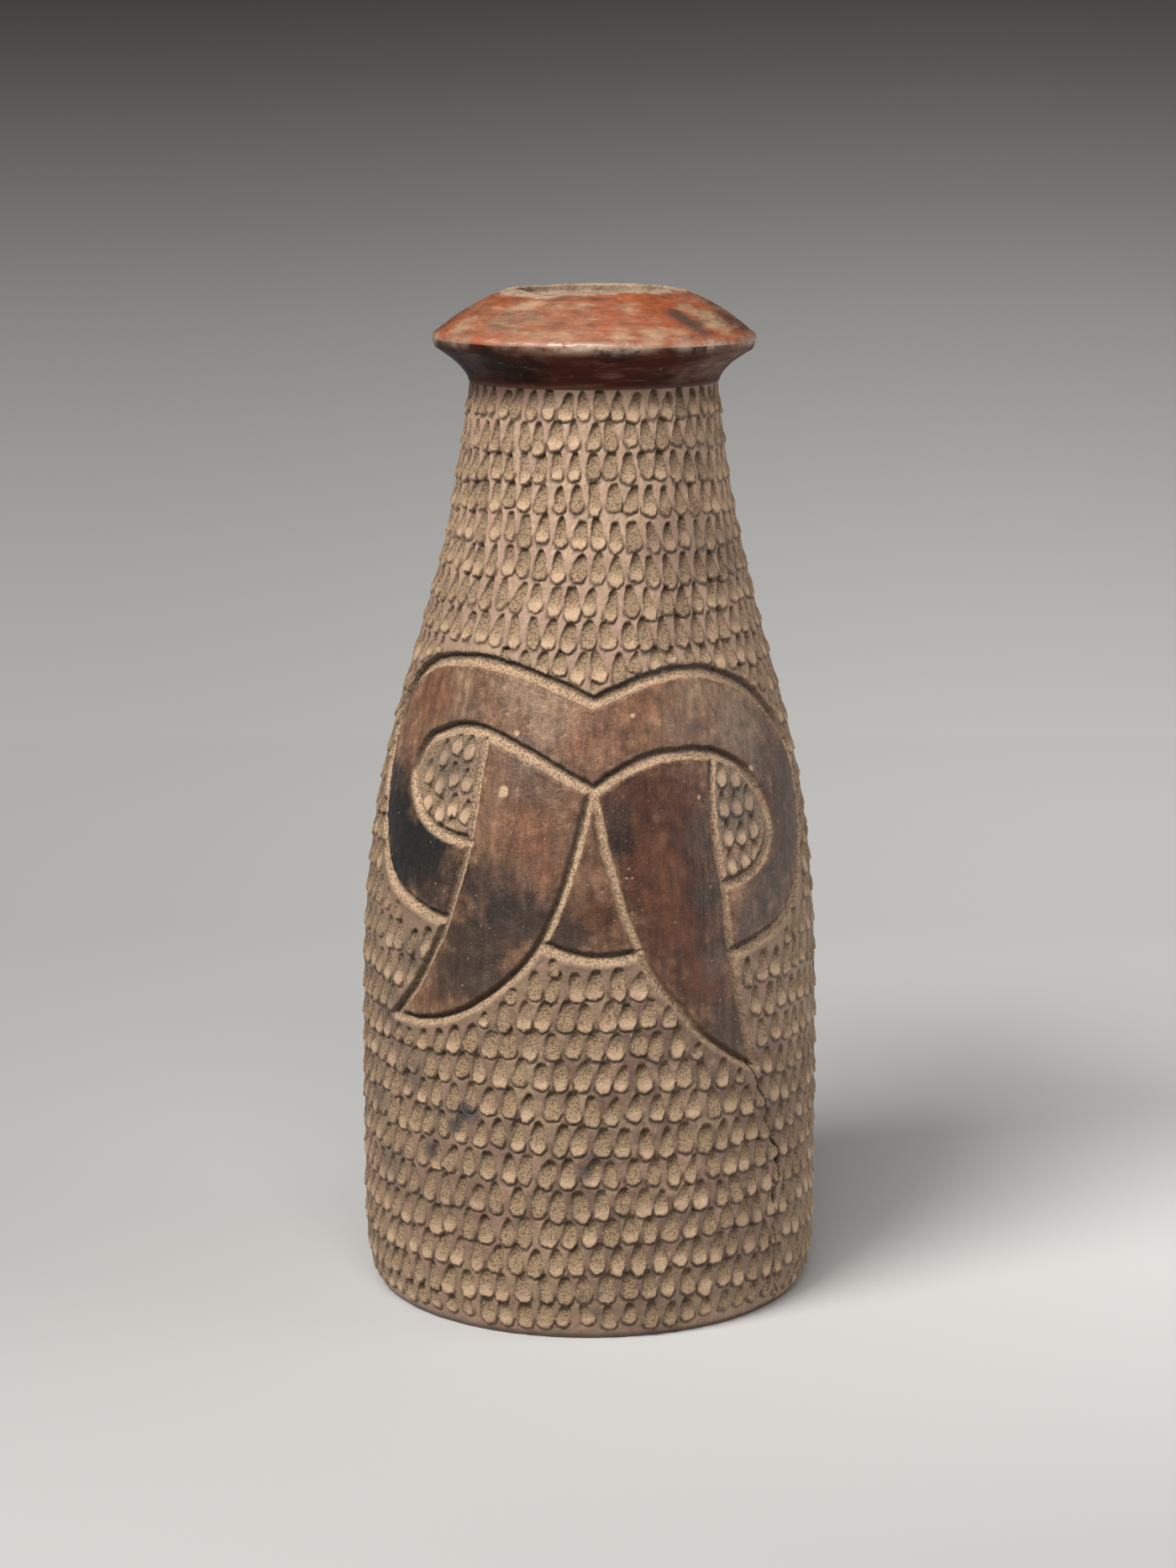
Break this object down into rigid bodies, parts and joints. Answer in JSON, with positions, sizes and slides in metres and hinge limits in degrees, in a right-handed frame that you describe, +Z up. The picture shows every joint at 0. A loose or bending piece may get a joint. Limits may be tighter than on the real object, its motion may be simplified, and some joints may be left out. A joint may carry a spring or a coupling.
{
  "type": "pottery bottle",
  "caption": "Tall hand-built clay bottle with a gouged surface, an incised looped band, and a ridged collar closing in to a small mouth.",
  "frame": {"origin": "centre of the foot, on the ground plane", "axes": "+Z up along the bottle's axis of turning; -Y faces the incised front"},
  "size_m": [0.1364, 0.1364, 0.3],
  "materials": {
    "gouged_clay": "unglazed fired clay, burnished between rough gouges, with dark fire clouds",
    "foot_clay": "unglazed fired clay, smoothed and worn at the foot",
    "dark_slip": "dark brown-red slip, burnished",
    "red_slip": "red-orange slip, burnished, worn through to tan clay",
    "broken_clay": "rough broken clay body"
  },
  "bodies": {
    "root": {"floor_slab": "foot_clay", "wall_course_01": "gouged_clay", "wall_course_02": "gouged_clay", "wall_course_03": "gouged_clay", "wall_course_04": "gouged_clay", "wall_course_05": "gouged_clay", "wall_course_06": "gouged_clay", "wall_course_07": "gouged_clay", "wall_course_08": "gouged_clay", "wall_course_09": "gouged_clay", "wall_course_10": "gouged_clay", "collar_flare": "dark_slip", "collar_top": "red_slip", "mouth_lip": "broken_clay"}
  },
  "joints": []
}
